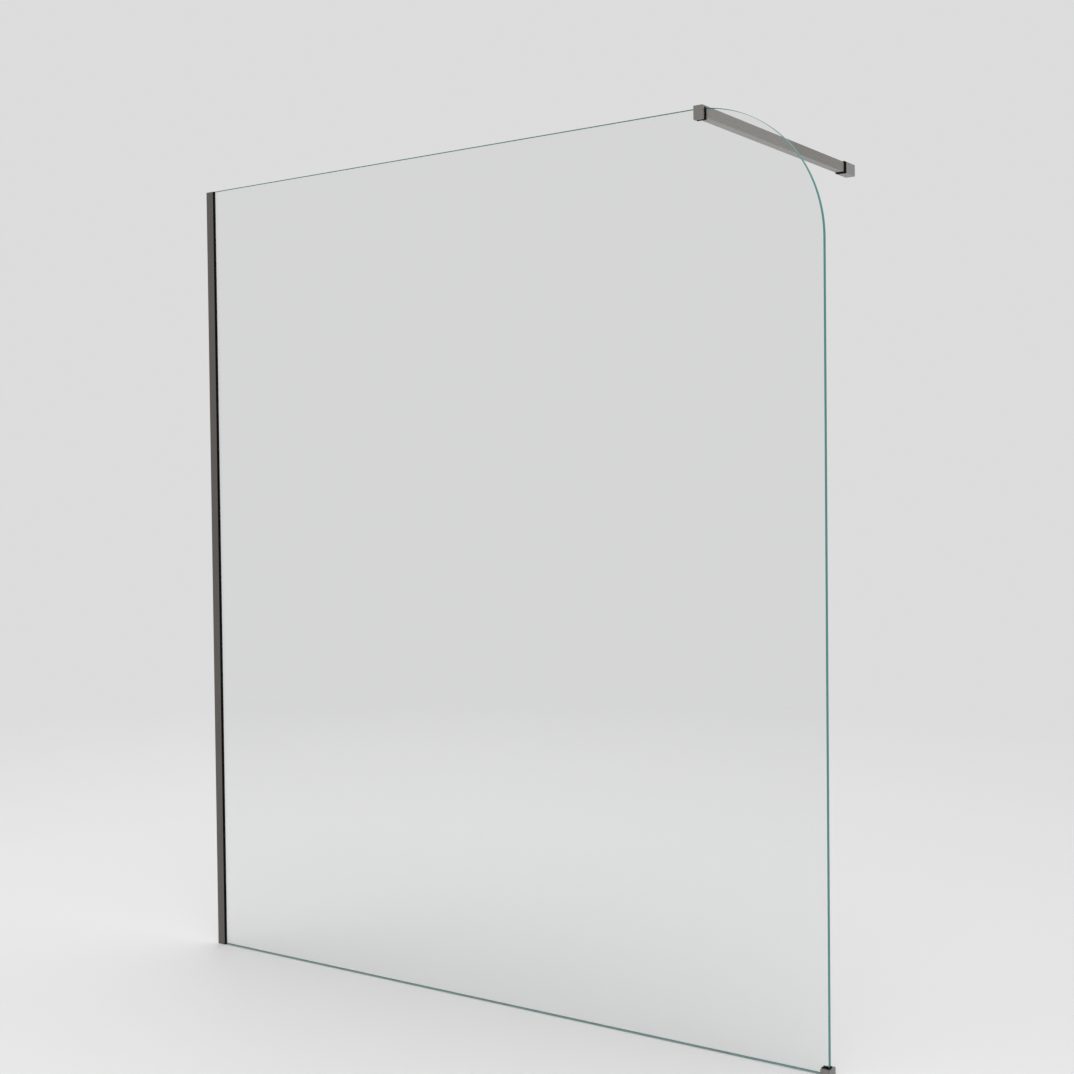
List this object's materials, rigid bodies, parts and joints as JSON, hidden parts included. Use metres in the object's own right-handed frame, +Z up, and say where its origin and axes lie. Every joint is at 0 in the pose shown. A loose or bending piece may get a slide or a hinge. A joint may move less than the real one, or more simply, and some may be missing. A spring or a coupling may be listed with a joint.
{
  "type": "walk-in shower screen",
  "caption": "Fixed walk-in shower screen: one clear glass sheet with a large rounded top corner, in a telescoping wall profile, braced by a clamp-on arm to the next wall and by a floor foot.",
  "frame": {"origin": "on the wall's face behind the wall channel, at floor level, in the middle of the glass's thickness", "axes": "+Z up, +X along the glass away from the wall, +Y square to the glass towards the wall that the arm is fixed to"},
  "size_m": [1.7735, 0.7782, 2.0066],
  "materials": {
    "channel_aluminium": "mill",
    "gunmetal": "brushed gunmetal",
    "fitting_metal": "brushed gunmetal",
    "arm_metal": "brushed gunmetal",
    "plate_steel": "plain",
    "screw_steel": "plain",
    "black_rubber": "matt",
    "cap_plastic": "satin",
    "block_plastic": "satin",
    "clear_glass": "clear, polished edges"
  },
  "bodies": {
    "wall_rail": {"wall_channel": "channel_aluminium"},
    "screen": {"adjusting_profile": "gunmetal", "front_glazing_gasket": "black_rubber", "rear_glazing_gasket": "black_rubber", "profile_top_cap": "cap_plastic", "profile_lock_screws": "screw_steel", "profile_screw_covers": "cap_plastic", "glass_setting_block": "block_plastic", "glass_panel": "clear_glass", "foot_body": "fitting_metal", "foot_gasket": "black_rubber", "foot_glass_pad": "block_plastic"},
    "support_arm": {"clamp_body": "fitting_metal", "clamp_gasket": "black_rubber", "clamp_pressure_disc": "screw_steel", "clamp_grub_screw": "screw_steel", "arm_tube": "arm_metal", "arm_lock_screw": "screw_steel"},
    "wall_bracket": {"bracket_collar": "black_rubber", "bracket_sleeve": "fitting_metal", "bracket_wall_plate": "plate_steel", "bracket_plate_screw": "screw_steel", "bracket_tube_screw": "screw_steel"}
  },
  "joints": [
    {"name": "profile_adjust", "type": "slide", "parent": "wall_rail", "child": "screen", "axis": [1, 0, 0], "range_m": [0, 0.006]},
    {"name": "clamp_slide", "type": "slide", "parent": "screen", "child": "support_arm", "axis": [1, 0, 0], "range_m": [-1.4, 0]},
    {"name": "bracket_slide", "type": "slide", "parent": "support_arm", "child": "wall_bracket", "axis": [0, 1, 0], "range_m": [-0.004, 0.025]}
  ]
}
